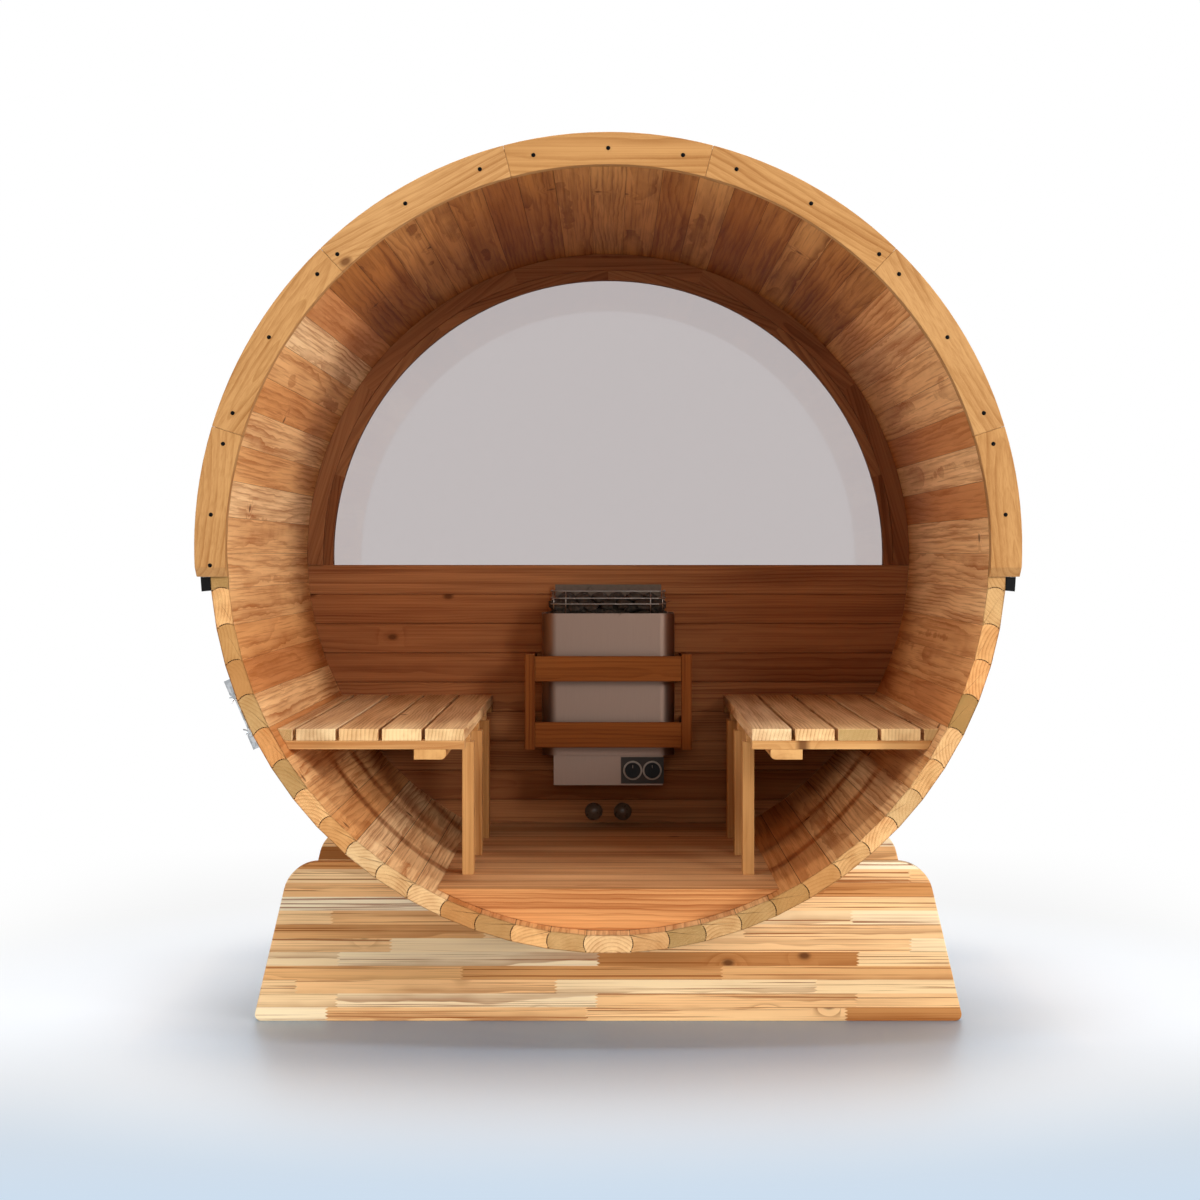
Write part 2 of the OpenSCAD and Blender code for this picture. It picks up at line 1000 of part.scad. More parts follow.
bottom_key_stave();
top_key_stave();
left_belly_staves();
right_belly_staves();
left_flank_staves();
right_flank_staves();
left_shoulder_staves();
right_shoulder_staves();
left_crown_staves();
right_crown_staves();
front_band();
rear_band();
band_tensioners();
left_roof();
right_roof();
eave_bars();
front_trim();
rear_trim();
front_cradle();
rear_cradle();
back_wall();
window_casing();
window_stop();
window_glass();
window_outer_ring();
floor_boards();
floor_front_board();
left_seat();
right_seat();
left_bearers();
right_bearers();
left_battens();
right_battens();
left_legs();
right_legs();
heater_shell();
heater_base();
heater_bracket();
splash_plate();
stones();
stone_guard();
control_panel();
timer_dial();
thermostat_dial();
rail_posts();
rail_boards();
vent_caps();
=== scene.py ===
# Looks of the barrel sauna: planed timber, felt shingles, stones and steel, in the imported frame.
import math
import random

import bmesh
import bpy
from mathutils import Matrix, Vector


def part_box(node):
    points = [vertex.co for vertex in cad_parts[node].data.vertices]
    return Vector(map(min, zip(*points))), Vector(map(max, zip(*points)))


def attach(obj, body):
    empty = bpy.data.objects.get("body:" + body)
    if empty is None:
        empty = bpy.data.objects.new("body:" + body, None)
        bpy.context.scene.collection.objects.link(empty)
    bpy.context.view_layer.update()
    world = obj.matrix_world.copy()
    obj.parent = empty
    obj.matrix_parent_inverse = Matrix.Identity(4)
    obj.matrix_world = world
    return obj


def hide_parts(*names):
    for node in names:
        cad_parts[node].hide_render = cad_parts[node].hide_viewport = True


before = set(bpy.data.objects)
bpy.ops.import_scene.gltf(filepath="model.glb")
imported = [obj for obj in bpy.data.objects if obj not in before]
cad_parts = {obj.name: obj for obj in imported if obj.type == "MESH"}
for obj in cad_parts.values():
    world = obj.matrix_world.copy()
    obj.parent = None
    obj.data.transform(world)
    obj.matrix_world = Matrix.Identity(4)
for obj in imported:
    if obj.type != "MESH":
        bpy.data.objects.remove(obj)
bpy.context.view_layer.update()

MM = 0.001

# The photograph's frame: its size, the point where lengthwise lines meet, and the barrel's scale
PHOTO_PX = 1200
VANISHING_PX = (608.2, 555.0)
MM_PER_PX = 1830.0 / 797.0
CAMERA_AWAY = 6.4
SENSOR_MM = 36.0

# Step between the numbers of neighbouring boards, which keeps their tones apart, and the share of chance
GOLDEN = 0.618
BOARD_CHANCE = 0.35

random.seed(11)
scene = bpy.context.scene

# Places that the frame gives
band_low, band_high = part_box("front_band")
axis_z = (band_low[2] + band_high[2]) / 2
front_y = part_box("bottom_key_stave")[0][1]
back_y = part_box("bottom_key_stave")[1][1]
slant_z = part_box("front_trim")[0][2]
trim_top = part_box("front_trim")[1][2]
trim_r = trim_top - axis_z
roof_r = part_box("left_roof")[1][2] - axis_z
crown_low, crown_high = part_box("top_key_stave")
room_r = crown_low[2] - axis_z
slope = (front_y - crown_low[1]) / (crown_high[2] - slant_z)
trim_thick = front_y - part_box("front_trim")[0][1] - slope * (trim_top - slant_z)


def linear(hex_code):
    """Linear RGBA of an sRGB hex colour."""
    channels = [int(hex_code[i:i + 2], 16) / 255 for i in (1, 3, 5)]
    return [c / 12.92 if c <= 0.04045 else ((c + 0.055) / 1.055) ** 2.4 for c in channels] + [1.0]


def add(tree, kind, ins=(), stops=(), **settings):
    """Adds a node with its settings. ins gives its inputs, by name or as a list in their order: each
    is a value, a socket, or a node whose first open output is taken. stops are a ramp's colours."""
    made = tree.nodes.new("ShaderNode" + kind)
    for name, value in settings.items():
        setattr(made, name, value)
    if isinstance(ins, dict):
        inputs, values = [made.inputs[name] for name in ins], ins.values()
    else:
        inputs, values = [i for i in made.inputs if i.enabled], ins
    for socket, value in zip(inputs, values):
        if isinstance(value, bpy.types.Node):
            value = next(o for o in value.outputs if o.enabled)
        if isinstance(value, bpy.types.NodeSocket):
            tree.links.new(value, socket)
        else:
            socket.default_value = value
    if stops:
        elements = made.color_ramp.elements
        while len(elements) < len(stops):
            elements.new(0.5)
        for element, (place, colour) in zip(elements, stops):
            element.position = place
            element.color = linear(colour) if isinstance(colour, str) else (colour, colour, colour, 1)
    return made


def material(name):
    """A new material with an empty node tree."""
    made = bpy.data.materials.new(name)
    made.use_nodes = True
    made.node_tree.nodes.clear()
    return made, made.node_tree


# Timber

# Sizes of the patterns along, across and through a board. Growth rings and fibres are drawn a few
# times coarser than in real softwood, so that they show from where the camera stands.
KNOT_CELL_MM = (200, 125, 125)
DRIFT_MM = (2000, 285.7, 285.7)
RIPPLE_MM = (142.9, 71.43, 71.43)
FADE_MM = (769.2, 45.45, 45.45)
FIBRE_LONG_MM = 400
STREAK_LONG_MM = 1111
KNOT_BEND_MM = 14
FIBRE_RELIEF_MM = 0.5

# How far apart two boards lie in the patterns, in metres
BOARD_SHIFT = (17.0, 3.7, 5.3)

# A year's growth: early wood darkens slowly into late wood, which ends at once.
YEAR = ((0.0, 0.0), (0.5, 0.12), (0.85, 0.9), (0.95, 1.0), (1.0, 0.0))
KNOT_TONE = "#5e3418"
SEAM_TONE = "#2a1508"
# In shares of a knot cell: how far a knot bends the rings, and where its core fades out
KNOT_REACH = 0.35
KNOT_CORE = (0.04, 0.1)
KNOT_DARK = 0.85
# Where weak years turn into strong ones, and how much of the streaks and fibres an end shows
HEART_EDGE = (0.38, 0.68)
END_STREAKS = 0.15
# Planed and left unfinished: matt, and uneven with the fibres
PLANED_ROUGH = (0.68, 0.84)


def timber_body(tree, grain, board, end, seam, line, ring_mm, tones, knots=0.02, figure=(0.2, 0.8),
                pith_across=(-70, 70), pith_below=(35, 100), wander_mm=75, ripple_mm=9, bands=0.35,
                streaks=0.5, streak_mm=12, streak_deep_mm=None, streak_edge=(0.52, 0.7),
                fibre_mm=3, fibre_edge=(0.34, 0.56), fibre_dark=0.25,
                end_tone="#ecd0a0", end_most=0.15, end_figure=0.45):
    """Sawn softwood: growth rings round a pith beside each board, so that faces show arches and ends
    show arcs; fibres along the board, darker heartwood streaks and a few knots. line is the colour of
    late wood, and tones are the boards' own colours, picked by each board's number."""
    chance = add(tree, "TexWhiteNoise", [board], noise_dimensions="1D")
    side_chance, depth_chance, end_chance = add(tree, "SeparateXYZ", [chance.outputs["Color"]]).outputs
    _, across, through = add(tree, "SeparateXYZ", [grain]).outputs
    shift = add(tree, "VectorMath", [BOARD_SHIFT, board], operation="SCALE")
    place = add(tree, "VectorMath", [grain, shift], operation="ADD")
    noise = {}
    for pattern, size_mm, detail, roughness in (
            ("drift", DRIFT_MM, 2, 0.5), ("ripple", RIPPLE_MM, 2, 0.5), ("fade", FADE_MM, 3, 0.5),
            ("fibre", (FIBRE_LONG_MM, fibre_mm, fibre_mm), 3, 0.5),
            ("streak", (STREAK_LONG_MM, streak_mm, streak_deep_mm or streak_mm), 4, 0.6)):
        drawn = add(tree, "VectorMath", [place, [1 / (mm * MM) for mm in size_mm]], operation="MULTIPLY")
        noise[pattern] = add(tree, "TexNoise", {"Vector": drawn, "Scale": 1, "Detail": detail,
                                                "Roughness": roughness})

    # A knot has a dark core, and bends the rings round it.
    knots_per_m = [1 / (mm * MM) for mm in KNOT_CELL_MM]
    knot_place = add(tree, "VectorMath", [place, knots_per_m], operation="MULTIPLY")
    knot_cell = add(tree, "TexVoronoi", {"Vector": knot_place, "Scale": 1}, voronoi_dimensions="2D")
    knot_chance = add(tree, "SeparateXYZ", [knot_cell.outputs["Color"]]).outputs[0]
    knot_here = add(tree, "Math", [knot_chance, 1 - knots], operation="GREATER_THAN")
    round_knot = add(tree, "MapRange", [knot_cell, 0, KNOT_REACH, 1, 0], interpolation_type="SMOOTHERSTEP")
    swell = add(tree, "Math", [round_knot, knot_here], operation="MULTIPLY")
    core = add(tree, "MapRange", [knot_cell, *KNOT_CORE, KNOT_DARK, 0])
    knot = add(tree, "Math", [core, knot_here], operation="MULTIPLY")

    # The pith wanders along the board, and the rings ripple round it.
    drift_across, drift_through, _ = add(tree, "SeparateXYZ", [noise["drift"].outputs["Color"]]).outputs
    from_pith = []
    for at, drift, luck, (least, most) in ((across, drift_across, side_chance, pith_across),
                                           (through, drift_through, depth_chance, pith_below)):
        pith = add(tree, "MapRange", [luck, 0, 1, least * MM, most * MM])
        wandered = add(tree, "Math", [drift, wander_mm * MM, at], operation="MULTIPLY_ADD")
        from_pith.append(add(tree, "Math", [wandered, pith], operation="SUBTRACT"))
    radius = add(tree, "VectorMath", [add(tree, "CombineXYZ", [0, *from_pith])], operation="LENGTH")
    rippled = add(tree, "Math", [noise["ripple"], ripple_mm * MM, radius], operation="MULTIPLY_ADD")
    bent = add(tree, "Math", [swell, KNOT_BEND_MM * MM, rippled], operation="MULTIPLY_ADD")
    years = add(tree, "Math", [bent, ring_mm * MM], operation="DIVIDE")
    rings = add(tree, "ValToRGB", [add(tree, "Math", [years], operation="FRACT")], YEAR)

    # Some years are stronger. Ends show rings, but little of the streaks and fibres.
    heart = add(tree, "MapRange", [noise["fade"], *HEART_EDGE])
    strong = add(tree, "MapRange", [heart, 0, 1, *figure])
    end_rings = add(tree, "MapRange", [end, 0, 1, 1, end_figure])
    calm_rings = add(tree, "Math", [rings, end_rings], operation="MULTIPLY")
    lines = add(tree, "Math", [calm_rings, strong], operation="MULTIPLY")
    warmth = add(tree, "Math", [heart, bands], operation="MULTIPLY")
    side = add(tree, "MapRange", [end, 0, 1, 1, END_STREAKS])
    streak = add(tree, "MapRange", [noise["streak"], *streak_edge, 0, streaks])
    side_streak = add(tree, "Math", [streak, side], operation="MULTIPLY")
    fibre = add(tree, "MapRange", [noise["fibre"], *fibre_edge, fibre_dark, 0])
    side_fibre = add(tree, "Math", [fibre, side], operation="MULTIPLY")
    end_share = add(tree, "MapRange", [end_chance, 0, 1, 0, end_most])
    end_amount = add(tree, "Math", [end, end_share], operation="MULTIPLY")

    colour = add(tree, "ValToRGB", [board], tones)
    for amount, tone in ((lines, line), (warmth, line), (side_streak, line), (side_fibre, line),
                         (knot, KNOT_TONE), (end_amount, end_tone), (seam, SEAM_TONE)):
        colour = add(tree, "Mix", [amount, colour, linear(tone)], data_type="RGBA")
    relief = add(tree, "Bump", {"Strength": 0.22, "Distance": FIBRE_RELIEF_MM * MM, "Height": noise["fibre"]})
    rough = add(tree, "MapRange", [noise["fibre"], 0, 1, *PLANED_ROUGH])
    shader = add(tree, "BsdfPrincipled", {"Base Color": colour, "Roughness": rough, "Normal": relief,
                                          "IOR": 1.5, "Specular IOR Level": 0.1})
    add(tree, "OutputMaterial", {"Surface": shader})


def timber(name, line, ring_mm, tones, **more):
    """Timber whose boards carry their own grain direction and number on the mesh."""
    made, tree = material(name)
    noted = [add(tree, "Attribute", attribute_name=note).outputs[kind] for note, kind in
             (("grain", "Vector"), ("board", "Fac"), ("end", "Fac"), ("seam", "Fac"))]
    timber_body(tree, *noted, line, ring_mm, tones, **more)
    return made


def laminated_pine():
    """Glued pine strips, finger-jointed end to end: pale and brown lengths lie row on row, and the
    joints are small zigzags."""
    made, tree = material("laminated_pine")
    strip, length, finger, bite = 34.0 * MM, 640.0 * MM, 4.2 * MM, 9.0 * MM
    # The rear cradle's rows have numbers of their own, and each row is slid by up to so many lengths.
    rear_rows, slide = 71.0, 7.0
    along, depth, up = add(tree, "SeparateXYZ", [add(tree, "TexCoord").outputs["Object"]]).outputs
    row = add(tree, "Math", [add(tree, "Math", [up, strip], operation="DIVIDE")], operation="FLOOR")
    at_rear = add(tree, "Math", [depth, 0], operation="GREATER_THAN")
    row_number = add(tree, "Math", [at_rear, rear_rows, row], operation="MULTIPLY_ADD")
    row_chance = add(tree, "TexWhiteNoise", [row_number], noise_dimensions="1D")
    teeth = add(tree, "Math", [up, finger], operation="PINGPONG")
    bitten = add(tree, "Math", [teeth, bite / finger, along], operation="MULTIPLY_ADD")
    lengths = add(tree, "Math", [bitten, length], operation="DIVIDE")
    slid = add(tree, "Math", [row_chance, slide, lengths], operation="MULTIPLY_ADD")
    piece = add(tree, "Math", [slid], operation="FLOOR")
    board = add(tree, "TexWhiteNoise", [add(tree, "CombineXYZ", [piece, row_number])], noise_dimensions="2D")
    middle = add(tree, "Math", [row, strip, strip / 2], operation="MULTIPLY_ADD")
    rise = add(tree, "Math", [up, middle], operation="SUBTRACT")
    grain = add(tree, "CombineXYZ", [along, rise, depth])
    end = add(tree, "Attribute", attribute_name="end").outputs["Fac"]
    timber_body(tree, grain, board, end, 0.0, "#934c17", 9,
                ((0.0, "#ffeecb"), (0.18, "#ffe2b2"), (0.34, "#ffd9a2"), (0.62, "#fdca8e"), (0.8, "#f0b97b"),
                 (0.87, "#d09256"), (1.0, "#a05f2c")),
                knots=0.13, figure=(0.0, 0.7), pith_across=(45, 120), pith_below=(-25, 25), wander_mm=30,
                ripple_mm=5, bands=0.08, streaks=0.8, streak_mm=5, streak_edge=(0.58, 0.6),
                fibre_edge=(0.36, 0.46))
    return made


# Flat-sawn stave boards: each has its own tone, from pale sapwood to brown heartwood, and darker ends.
stave_wood = timber("planed_stave_softwood", "#a35a22", 8,
                    ((0.0, "#fdd6a0"), (0.25, "#f7c78c"), (0.5, "#eeb779"), (0.75, "#e3a364"),
                     (0.92, "#cf8950"), (1.0, "#f8cc92")),
                    knots=0.03, figure=(0.25, 0.85), pith_below=(80, 170), wander_mm=50, ripple_mm=6,
                    streaks=0.45, fibre_mm=5, fibre_edge=(0.38, 0.47), fibre_dark=0.42,
                    end_tone="#91703f", end_most=0.95, end_figure=0.85)
# The crown's boards are browner than the sides' boards as painted shade: the dark top of the barrel's inside
# is put into their colour.
crown_wood = timber("planed_crown_softwood_painted_shade", "#6b330f", 8,
                    ((0.0, "#d29656"), (0.35, "#c48548"), (0.65, "#b8773b"), (0.88, "#a6642e"),
                     (1.0, "#cd9152")),
                    pith_below=(80, 170), wander_mm=50, ripple_mm=6, fibre_mm=5, fibre_edge=(0.36, 0.48),
                    fibre_dark=0.35, end_tone="#8a6e42", end_most=0.85, end_figure=0.85)
# Flat-sawn trim: long wavy lines, low in contrast.
trim_wood = timber("planed_trim_softwood", "#8a5526", 15, ((0.0, "#c0915c"), (1.0, "#b98852")),
                   pith_across=(35, 110), pith_below=(-20, 40), ripple_mm=12, bands=0.25, streaks=0.25)
# Wall boards: reddish brown, darker than the staves as painted shade of the barrel, with soft arches
# and the odd knot.
wall_wood = timber("planed_wall_softwood", "#6c3014", 8,
                   ((0.0, "#c38352"), (0.5, "#b06f42"), (1.0, "#cb8d5b")), knots=0.06, figure=(0.15, 0.7))
# Heartwood of the window rings, browner than the wall.
casing_wood = timber("planed_casing_heartwood", "#5e2a12", 8,
                     ((0.0, "#a86e45"), (0.5, "#98603a"), (1.0, "#b0774c")), figure=(0.15, 0.7))
# Floor boards: pale and even, with plain arches.
floor_wood = timber("planed_floor_softwood", "#944f20", 9,
                    ((0.0, "#f2bd85"), (0.5, "#e6ad73"), (1.0, "#facb94")), knots=0.04)
# The one wide board under the floor's front edge, a little browner than the floor.
front_wood = timber("planed_front_board_softwood", "#8c4415", 9, ((0.0, "#dc9f64"), (1.0, "#d19056")),
                    knots=0.04)
# Quarter-sawn bench slats: straight lines on top and upright lines on the ends.
bench_wood = timber("planed_bench_softwood", "#9c5a24", 9,
                    ((0.0, "#fbd7a0"), (0.5, "#f4c98f"), (1.0, "#ffe4b4")),
                    pith_across=(240, 380), pith_below=(-30, 30), streaks=0.45, streak_mm=9,
                    streak_deep_mm=150, end_tone="#a48450", end_most=0.9, end_figure=0.9)
# Rift-sawn bench frames: close straight lines, faint against a plain tone.
frame_wood = timber("planed_frame_softwood", "#95551f", 9,
                    ((0.0, "#d09e63"), (0.5, "#ca965a"), (1.0, "#d9aa70")),
                    figure=(0.1, 0.5), pith_across=(60, 150), pith_below=(-30, 30))
# The heater rail, darker and redder than the other timber.
rail_wood = timber("planed_rail_softwood", "#602a0c", 9, ((0.0, "#a46430"), (1.0, "#985827")))
cradle_pine = laminated_pine()


# Metal, stone, felt and plastic

def spotted(name, dark, light, spot_mm, rough, relief_mm, metal=0.0, gloss=0.5, stretch=(1, 1, 1),
            pattern="TexNoise", tabs=False):
    """A surface whose tone, roughness and relief all follow one spotted or brushed pattern. With tabs,
    each shingle also has its own strength of tone."""
    made, tree = material(name)
    where = add(tree, "TexCoord").outputs["Object"]
    drawn = add(tree, "VectorMath", [where, stretch], operation="MULTIPLY")
    spots = add(tree, pattern, {"Vector": drawn, "Scale": 1 / (spot_mm * MM)})
    level = spots.outputs["Color" if pattern == "TexVoronoi" else "Fac"]
    low, high = 0.25, 0.75
    pale_tab, deep_tab = 0.65, 1.5
    tone = add(tree, "ValToRGB", [level], ((low, dark), (high, light)))
    if tabs:
        tab = add(tree, "Attribute", attribute_name="tab").outputs["Fac"]
        fired = add(tree, "MapRange", [tab, 0, 1, pale_tab, deep_tab])
        tone = add(tree, "VectorMath", [tone, fired], operation="SCALE")
    roughness = add(tree, "MapRange", [level, low, high, *rough])
    relief = add(tree, "Bump", {"Strength": 0.35, "Distance": relief_mm * MM, "Height": level})
    shader = add(tree, "BsdfPrincipled", {"Base Color": tone, "Roughness": roughness, "Normal": relief,
                                          "Metallic": metal, "Specular IOR Level": gloss})
    add(tree, "OutputMaterial", {"Surface": shader})
    return made


def tinted_glass():
    """Bronze-grey float glass: clear, flat, and a soft grey against a white ground, with a thin
    uneven film on it."""
    made, tree = material("tinted_float_glass")
    film_mm = 333.3
    where = add(tree, "TexCoord").outputs["Object"]
    film = add(tree, "TexNoise", {"Vector": where, "Scale": 1 / (film_mm * MM)})
    rough = add(tree, "MapRange", [film, 0, 1, 0.01, 0.05])
    shader = add(tree, "BsdfPrincipled", {"Base Color": linear("#bdb6b6"), "Roughness": rough,
                                          "Transmission Weight": 1.0, "IOR": 1.52})
    add(tree, "OutputMaterial", {"Surface": shader})
    return made


# Hot-dipped zinc: broad spangles, each of its own grey and gloss.
galvanised = spotted("galvanised_band_steel", "#a9adb0", "#d0d4d7", 9.0, (0.32, 0.5), 0.05, metal=1.0,
                     pattern="TexVoronoi")
# Brushed stainless sheet: fine upright lines, drawn coarser than the real ones to show, and soft shine;
# its brownish tone is a painted reflection of the warm wood round the heater.
brushed_steel = spotted("brushed_stainless_steel", "#836d60", "#887265", 1.6, (0.42, 0.48), 0.004, metal=1.0,
                        stretch=(1, 1, 0.02))
# Pickled sheet, browned by heat: dull, with cloudy patches.
dull_steel = spotted("pickled_sheet_steel", "#54473d", "#6a5b50", 14.0, (0.42, 0.6), 0.05, metal=1.0)
# Drawn wire: smooth and bright.
bright_wire = spotted("drawn_steel_wire", "#948c84", "#aaa29a", 3.0, (0.3, 0.4), 0.02, metal=1.0)
# Crushed olivine: dark and rough, with paler crystals.
sauna_stone = spotted("crushed_olivine_stone", "#120e0b", "#54473b", 9.0, (0.75, 0.95), 1.2)
# Mineral granules on roofing felt, drawn about twice as coarse to show: black, matt and grainy.
felt_granules = spotted("granule_roofing_felt", "#080808", "#2c2d2e", 2.2, (0.82, 0.96), 0.8, tabs=True)
# Extruded rubber edge: black, with hardly any shine.
eave_rubber = spotted("eave_edge_rubber", "#070707", "#101010", 3.0, (0.5, 0.7), 0.1, gloss=0.1)
# Moulded plastic of the panel: dark brown, with a fine grain.
panel_moulding = spotted("moulded_panel_plastic", "#2c2723", "#3b3530", 1.4, (0.5, 0.65), 0.08, gloss=0.25)
# Moulded plastic of the dials: black, a little smoother than the panel.
dial_moulding = spotted("moulded_dial_plastic", "#080707", "#100e0d", 1.2, (0.4, 0.55), 0.06, gloss=0.2)
# Pale print on plastic: flat, even and half matt.
ring_print = spotted("printed_dial_ring", "#968a7e", "#a89c90", 2.0, (0.5, 0.6), 0.03, gloss=0.25)
# Stoved enamel: bronze brown, smooth, with a clear highlight.
vent_metal = spotted("stoved_bronze_enamel", "#5a4535", "#6b5443", 11.0, (0.24, 0.34), 0.05)
# Blackened steel: dark, with a dull metal shine.
screw_black = spotted("blackened_screw_steel", "#0b0b0b", "#1c1c1c", 2.0, (0.4, 0.55), 0.02, metal=1.0)
glass_pane = tinted_glass()

for node, finish in (("front_band", galvanised), ("rear_band", galvanised),
                     ("left_roof", felt_granules), ("right_roof", felt_granules), ("eave_bars", eave_rubber),
                     ("window_glass", glass_pane), ("heater_shell", brushed_steel),
                     ("heater_base", brushed_steel), ("heater_bracket", dull_steel),
                     ("splash_plate", dull_steel),
                     ("control_panel", panel_moulding), ("timer_dial", dial_moulding),
                     ("thermostat_dial", dial_moulding), ("vent_caps", vent_metal)):
    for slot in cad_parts[node].material_slots:
        slot.material = finish


# Boards: bevelled copies of the CAD nodes, each board with its own grain frame

WELD_MM = 0.01
FLAT_ANGLE = math.radians(0.6)
SHARP_ANGLE = math.radians(25)
# Faces that look this much along a board are its ends, and this much across it its joints
END_FACING = 0.9
JOINT_FACING = 0.25
# Distance from the middle of a board, in board widths, from which an end's rim counts as a joint
JOINT_OFF = 0.3


def islands(bm):
    """Groups of joined vertices."""
    taken = set()
    for first in bm.verts:
        if first in taken:
            continue
        taken.add(first)
        group = [first]
        for vert in group:
            for link in vert.link_edges:
                near = link.other_vert(vert)
                if near not in taken:
                    taken.add(near)
                    group.append(near)
        yield group


def shown(name, bm, finish, node=None, body="sauna", smooth=False):
    """Turns built faces into a piece that rides a body, with its finish, and takes a node's place if one is
    given.
    """
    mesh = bpy.data.meshes.new(name)
    for face in bm.faces:
        face.smooth = smooth
    bm.to_mesh(mesh)
    bm.free()
    mesh.materials.append(finish)
    piece = bpy.data.objects.new(name, mesh)
    scene.collection.objects.link(piece)
    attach(piece, body)
    if node:
        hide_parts(node)


def planed(node, wood, axes, turned=False, ease_mm=1.5, seam_dark=0.0, end_joint_mm=0.0, press_mm=0.0):
    """Copies a node's boards, eases their edges and notes on each board which way its grain runs. axes
    names the row axes along, across and through a board, at the top of the barrel if turned. Seams
    darken the joints between boards, and pressing closes the joints at their ends."""
    order = ["XYZ".index(axis) for axis in axes]
    lengthwise, crosswise = order[:2]
    bm = bmesh.new()
    bm.from_mesh(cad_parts[node].data)
    bmesh.ops.remove_doubles(bm, verts=bm.verts, dist=WELD_MM * MM)
    bmesh.ops.dissolve_limit(bm, angle_limit=FLAT_ANGLE, verts=bm.verts, edges=bm.edges)
    sharp = [e for e in bm.edges if len(e.link_faces) == 2 and e.calc_face_angle() > SHARP_ANGLE]
    bmesh.ops.bevel(bm, geom=sharp, offset=ease_mm * MM, segments=2, profile=0.6, affect="EDGES",
                    clamp_overlap=True)
    bm.normal_update()
    joints = set()
    if end_joint_mm:
        ends = [f for f in bm.faces if abs(f.normal[lengthwise]) > END_FACING]
        joints = set(bmesh.ops.inset_individual(bm, faces=ends, thickness=end_joint_mm * MM)["faces"])
    grain = bm.verts.layers.float_vector.new("grain")
    board = bm.verts.layers.float.new("board")
    end = bm.faces.layers.float.new("end")
    seam = bm.faces.layers.float.new("seam")
    bm.normal_update()
    hub = Vector((0, 0, axis_z))
    for count, group in enumerate(islands(bm)):
        low = Vector([min(v.co[i] for v in group) for i in range(3)])
        high = Vector([max(v.co[i] for v in group) for i in range(3)])
        middle = (low + high) / 2
        angle = math.atan2(middle.x, middle.z - axis_z) if turned else 0.0
        turn = Matrix.Rotation(-angle, 3, "Y")
        local = [turn @ (v.co - hub) for v in group]
        centre = sum(local, Vector()) / len(local)
        number = (count * GOLDEN + random.random() * BOARD_CHANCE) % 1
        spans = [at[crosswise] for at in local]
        wide = max(spans) - min(spans)
        along, across = (turn.inverted() @ Vector([float(i == way) for i in range(3)])
                         for way in (lengthwise, crosswise))
        for vert, at in zip(group, local):
            off = at - centre
            vert.co += along * math.copysign(press_mm * MM, off[lengthwise])
            vert[grain] = [off[i] for i in order]
            vert[board] = number
        for face in {f for v in group for f in v.link_faces}:
            facing = turn @ face.normal
            face[end] = abs(facing[lengthwise]) ** 4
            off_middle = abs(face.calc_center_median().dot(across) - middle.dot(across))
            beside = face in joints and off_middle > wide * JOINT_OFF
            face[seam] = seam_dark if beside or abs(facing[crosswise]) > JOINT_FACING else 0.0
    shown(node + "_planed", bm, wood, node=node)


stave_nodes = [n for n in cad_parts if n.endswith("_staves") or n.endswith("_key_stave")]
for n in sorted(stave_nodes):
    # The crown staves take the browner wood, whose colour holds painted shade.
    wood = crown_wood if "crown" in n or n == "top_key_stave" else stave_wood
    planed(n, wood, "YXZ", turned=True, ease_mm=1.8, seam_dark=0.9, end_joint_mm=1.5)
for n in ("front_trim", "rear_trim"):
    planed(n, trim_wood, "XZY", turned=True, ease_mm=2.0)
for n in ("window_casing", "window_stop", "window_outer_ring"):
    planed(n, casing_wood, "XZY", turned=True, ease_mm=0.5, press_mm=0.4)
planed("back_wall", wall_wood, "XZY", ease_mm=0.5, seam_dark=0.12)
planed("floor_boards", floor_wood, "XYZ", seam_dark=0.7)
planed("floor_front_board", front_wood, "XZY")
for side in ("left", "right"):
    planed(side + "_seat", bench_wood, "YXZ", ease_mm=2.0)
    planed(side + "_bearers", frame_wood, "XYZ")
    planed(side + "_battens", frame_wood, "YXZ")
    planed(side + "_legs", frame_wood, "ZYX", ease_mm=2.0)
planed("rail_posts", rail_wood, "ZXY", ease_mm=2.0)
planed("rail_boards", rail_wood, "XZY", ease_mm=2.0)
for n in ("front_cradle", "rear_cradle"):
    planed(n, cradle_pine, "XZY", ease_mm=3.0)


# Roof, screws, stones and heater fittings

# Where the trim's screws sit, in degrees from the top: on both sides, and one at the left foot
SCREW_TURNS = (0, 10.6, 18.4, 30, 42, 46, 57.3, 69.3, 73.9, 84.2)
FOOT_SCREW_TURN = -91.5
# A screw head from its rim to the bottom of its drive, as shares of its radius and its rise
HEAD_PROFILE = ((1.0, -0.6), (1.0, 0.25), (0.86, 0.7), (0.6, 0.95), (0.34, 1.0), (0.34, 0.3))
# A stone's depth and height, as shares of its width
STONE_DEEP = 0.85
STONE_FLAT = 0.7


def slanted_end(z):
    """How far the canopy reaches past a barrel end at a height."""
    return slope * max(0.0, z - slant_z)


def roof_point(turn, y):
    """A point on the roof covering, at an angle from the top."""
    return Vector((roof_r * math.sin(turn), y, axis_z + roof_r * math.cos(turn)))


def ring_of(bm, place, radius, sides, rise=0.0):
    """A ring of vertices round the Z axis of a place."""
    turns = [math.tau * k / sides for k in range(sides)]
    return [bm.verts.new(place @ Vector((radius * math.cos(t), radius * math.sin(t), rise))) for t in turns]


def skin(bm, rings, first_cap=True, last_cap=True):
    """Faces between neighbouring rings, and a cap on the first and the last one if wanted."""
    for lower, upper in zip(rings, rings[1:]):
        for k in range(len(lower)):
            bm.faces.new((lower[k - 1], lower[k], upper[k], upper[k - 1]))
    if first_cap:
        bm.faces.new(rings[0][::-1])
    if last_cap:
        bm.faces.new(rings[-1])


